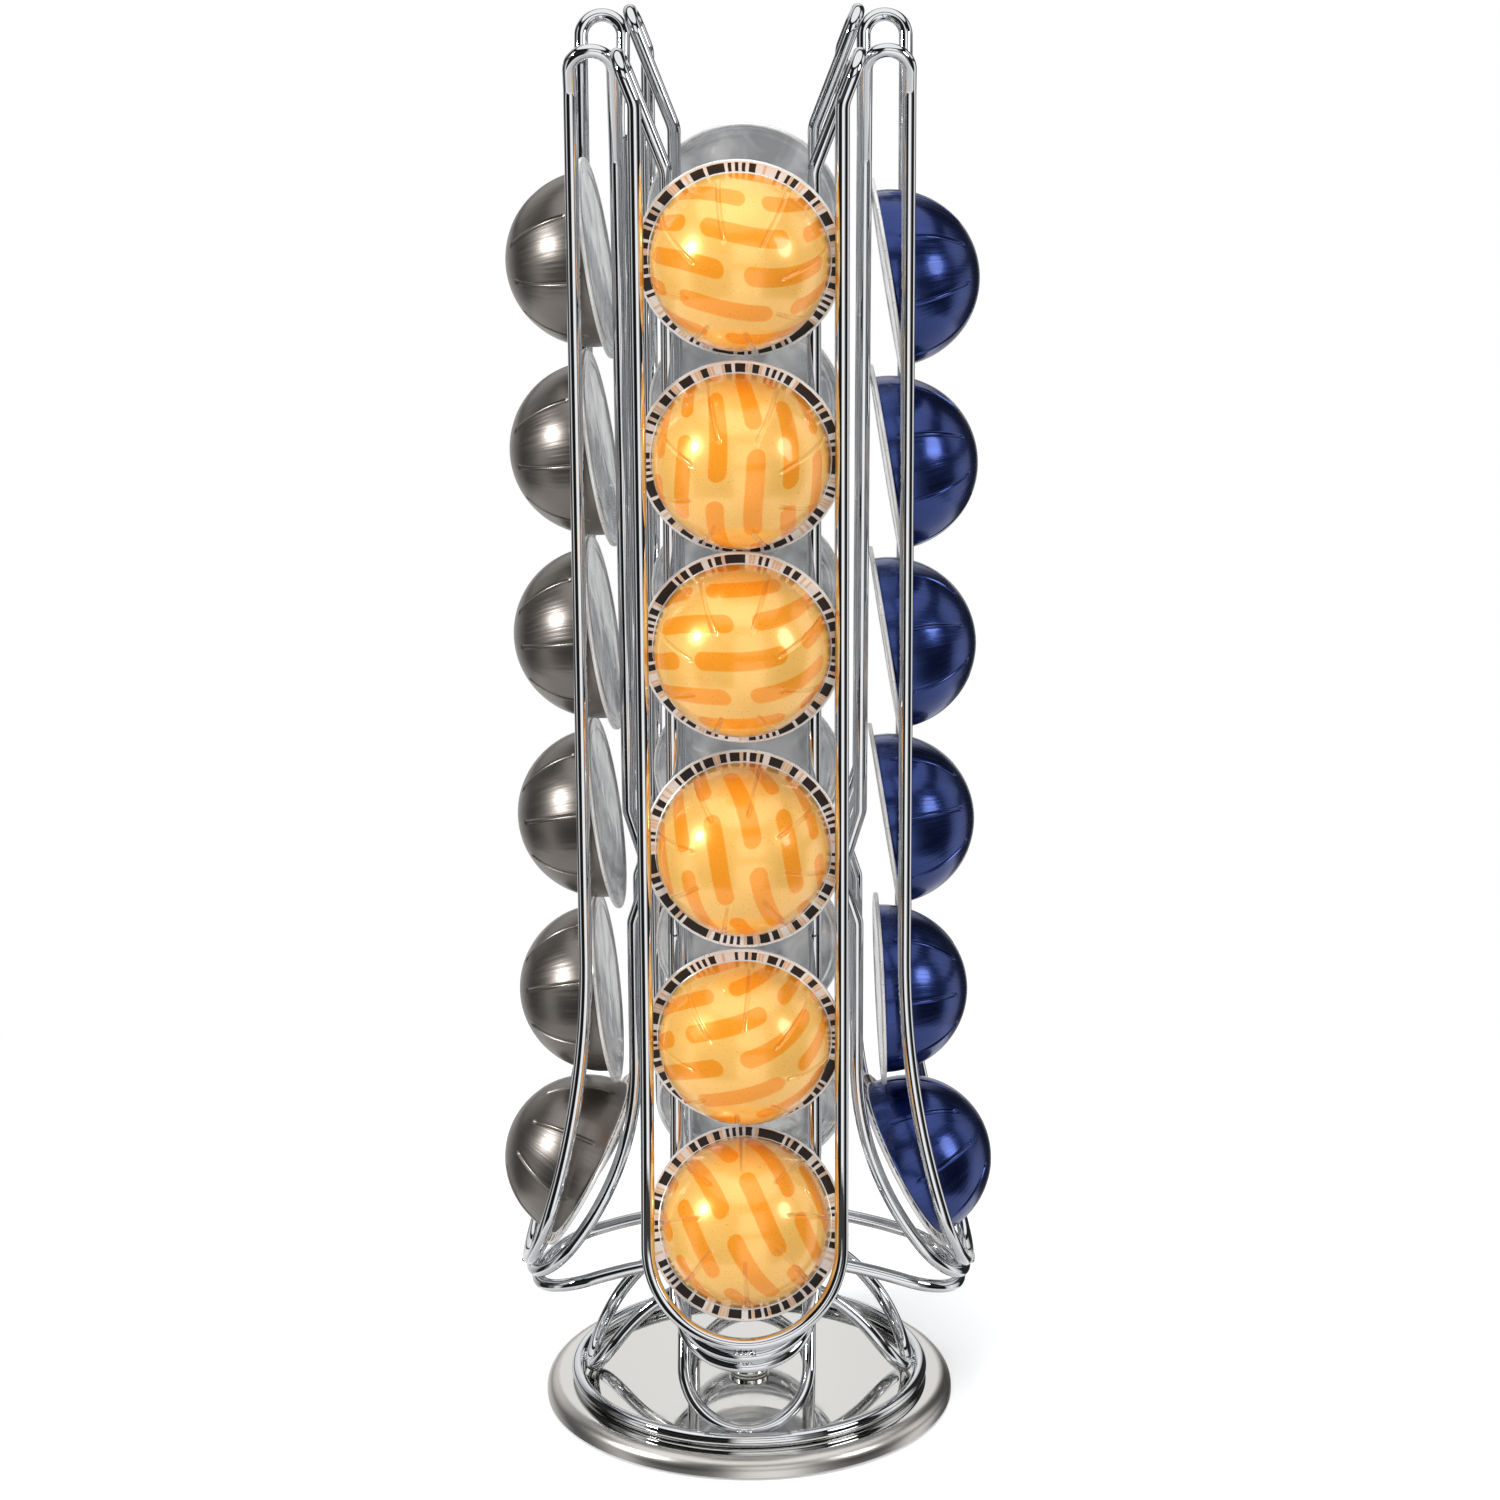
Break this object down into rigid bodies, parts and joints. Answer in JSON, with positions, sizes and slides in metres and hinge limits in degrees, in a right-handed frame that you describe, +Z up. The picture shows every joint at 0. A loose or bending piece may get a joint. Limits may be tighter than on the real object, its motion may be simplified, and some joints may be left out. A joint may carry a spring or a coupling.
{
  "type": "revolving coffee capsule dispenser",
  "caption": "Free-standing revolving wire rack: columns of domed coffee capsules stand between flared rails on a turning polished pan",
  "frame": {"origin": "middle of the underside of the anti-slip pad, on the spin axis", "axes": "+Z up along the spin axis, -Y towards the front column, +X towards the right column"},
  "size_m": [0.1624, 0.1624, 0.4627],
  "materials": {
    "chromed_wire": "bright chrome plate on round steel wire",
    "polished_steel": "mirror-polished top with a satin rolled rim",
    "plate_steel": "plain zinc-grey sheet, hidden under the pan",
    "nylon": "white nylon",
    "rubber": "matt black anti-slip foam rubber",
    "gold_foil": "lacquered gold aluminium with a light printed pattern, white and black rim bars",
    "blue_foil": "lacquered dark blue aluminium with pressed grooves",
    "gunmetal_foil": "lacquered gunmetal aluminium with pressed grooves",
    "silver_foil": "lacquered silver aluminium with pressed grooves"
  },
  "bodies": {
    "foot": {"anti_slip_pad": "rubber", "bearing_plate": "plate_steel", "glide_ring": "nylon", "pivot_bush": "nylon", "pivot_washer": "nylon", "pivot_rivet": "polished_steel"},
    "carousel": {"turntable_pan": "polished_steel", "foot_ring": "chromed_wire", "leg_loop_left_right": "chromed_wire", "leg_loop_front_rear": "chromed_wire", "cradle_left_right": "chromed_wire", "cradle_front_rear": "chromed_wire", "outer_wire_front": "chromed_wire", "inner_wire_front": "chromed_wire", "outer_wire_right": "chromed_wire", "inner_wire_right": "chromed_wire", "outer_wire_back": "chromed_wire", "inner_wire_back": "chromed_wire", "outer_wire_left": "chromed_wire", "inner_wire_left": "chromed_wire", "capsule_front_6": "gold_foil", "capsule_right_6": "blue_foil", "capsule_back_6": "silver_foil", "capsule_left_6": "gunmetal_foil"},
    "capsule_front_5": {"capsule_front_5": "gold_foil"},
    "capsule_front_4": {"capsule_front_4": "gold_foil"},
    "capsule_front_3": {"capsule_front_3": "gold_foil"},
    "capsule_front_2": {"capsule_front_2": "gold_foil"},
    "capsule_front_1": {"capsule_front_1": "gold_foil"},
    "capsule_right_5": {"capsule_right_5": "blue_foil"},
    "capsule_right_4": {"capsule_right_4": "blue_foil"},
    "capsule_right_3": {"capsule_right_3": "blue_foil"},
    "capsule_right_2": {"capsule_right_2": "blue_foil"},
    "capsule_right_1": {"capsule_right_1": "blue_foil"},
    "capsule_back_5": {"capsule_back_5": "silver_foil"},
    "capsule_back_4": {"capsule_back_4": "silver_foil"},
    "capsule_back_3": {"capsule_back_3": "silver_foil"},
    "capsule_back_2": {"capsule_back_2": "silver_foil"},
    "capsule_back_1": {"capsule_back_1": "silver_foil"},
    "capsule_left_5": {"capsule_left_5": "gunmetal_foil"},
    "capsule_left_4": {"capsule_left_4": "gunmetal_foil"},
    "capsule_left_3": {"capsule_left_3": "gunmetal_foil"},
    "capsule_left_2": {"capsule_left_2": "gunmetal_foil"},
    "capsule_left_1": {"capsule_left_1": "gunmetal_foil"}
  },
  "joints": [
    {"name": "carousel_spin", "type": "hinge", "parent": "foot", "child": "carousel", "pos_m": [0, 0, 0.0072], "axis": [0, 0, 1], "continuous": true},
    {"name": "capsule_front_5_lift", "type": "slide", "parent": "carousel", "child": "capsule_front_5", "axis": [0, 0, 1], "range_m": [0, 0.35]},
    {"name": "capsule_front_4_lift", "type": "slide", "parent": "capsule_front_5", "child": "capsule_front_4", "axis": [0, 0, 1], "range_m": [0, 0.287]},
    {"name": "capsule_front_3_lift", "type": "slide", "parent": "capsule_front_4", "child": "capsule_front_3", "axis": [0, 0, 1], "range_m": [0, 0.22]},
    {"name": "capsule_front_2_lift", "type": "slide", "parent": "capsule_front_3", "child": "capsule_front_2", "axis": [0, 0, 1], "range_m": [0, 0.16]},
    {"name": "capsule_front_1_lift", "type": "slide", "parent": "capsule_front_2", "child": "capsule_front_1", "axis": [0, 0, 1], "range_m": [0, 0.098]},
    {"name": "capsule_right_5_lift", "type": "slide", "parent": "carousel", "child": "capsule_right_5", "axis": [0, 0, 1], "range_m": [0, 0.351]},
    {"name": "capsule_right_4_lift", "type": "slide", "parent": "capsule_right_5", "child": "capsule_right_4", "axis": [0, 0, 1], "range_m": [0, 0.292]},
    {"name": "capsule_right_3_lift", "type": "slide", "parent": "capsule_right_4", "child": "capsule_right_3", "axis": [0, 0, 1], "range_m": [0, 0.233]},
    {"name": "capsule_right_2_lift", "type": "slide", "parent": "capsule_right_3", "child": "capsule_right_2", "axis": [0, 0, 1], "range_m": [0, 0.173]},
    {"name": "capsule_right_1_lift", "type": "slide", "parent": "capsule_right_2", "child": "capsule_right_1", "axis": [0, 0, 1], "range_m": [0, 0.114]},
    {"name": "capsule_back_5_lift", "type": "slide", "parent": "carousel", "child": "capsule_back_5", "axis": [0, 0, 1], "range_m": [0, 0.352]},
    {"name": "capsule_back_4_lift", "type": "slide", "parent": "capsule_back_5", "child": "capsule_back_4", "axis": [0, 0, 1], "range_m": [0, 0.29]},
    {"name": "capsule_back_3_lift", "type": "slide", "parent": "capsule_back_4", "child": "capsule_back_3", "axis": [0, 0, 1], "range_m": [0, 0.227]},
    {"name": "capsule_back_2_lift", "type": "slide", "parent": "capsule_back_3", "child": "capsule_back_2", "axis": [0, 0, 1], "range_m": [0, 0.165]},
    {"name": "capsule_back_1_lift", "type": "slide", "parent": "capsule_back_2", "child": "capsule_back_1", "axis": [0, 0, 1], "range_m": [0, 0.102]},
    {"name": "capsule_left_5_lift", "type": "slide", "parent": "carousel", "child": "capsule_left_5", "axis": [0, 0, 1], "range_m": [0, 0.351]},
    {"name": "capsule_left_4_lift", "type": "slide", "parent": "capsule_left_5", "child": "capsule_left_4", "axis": [0, 0, 1], "range_m": [0, 0.29]},
    {"name": "capsule_left_3_lift", "type": "slide", "parent": "capsule_left_4", "child": "capsule_left_3", "axis": [0, 0, 1], "range_m": [0, 0.229]},
    {"name": "capsule_left_2_lift", "type": "slide", "parent": "capsule_left_3", "child": "capsule_left_2", "axis": [0, 0, 1], "range_m": [0, 0.168]},
    {"name": "capsule_left_1_lift", "type": "slide", "parent": "capsule_left_2", "child": "capsule_left_1", "axis": [0, 0, 1], "range_m": [0, 0.107]}
  ]
}
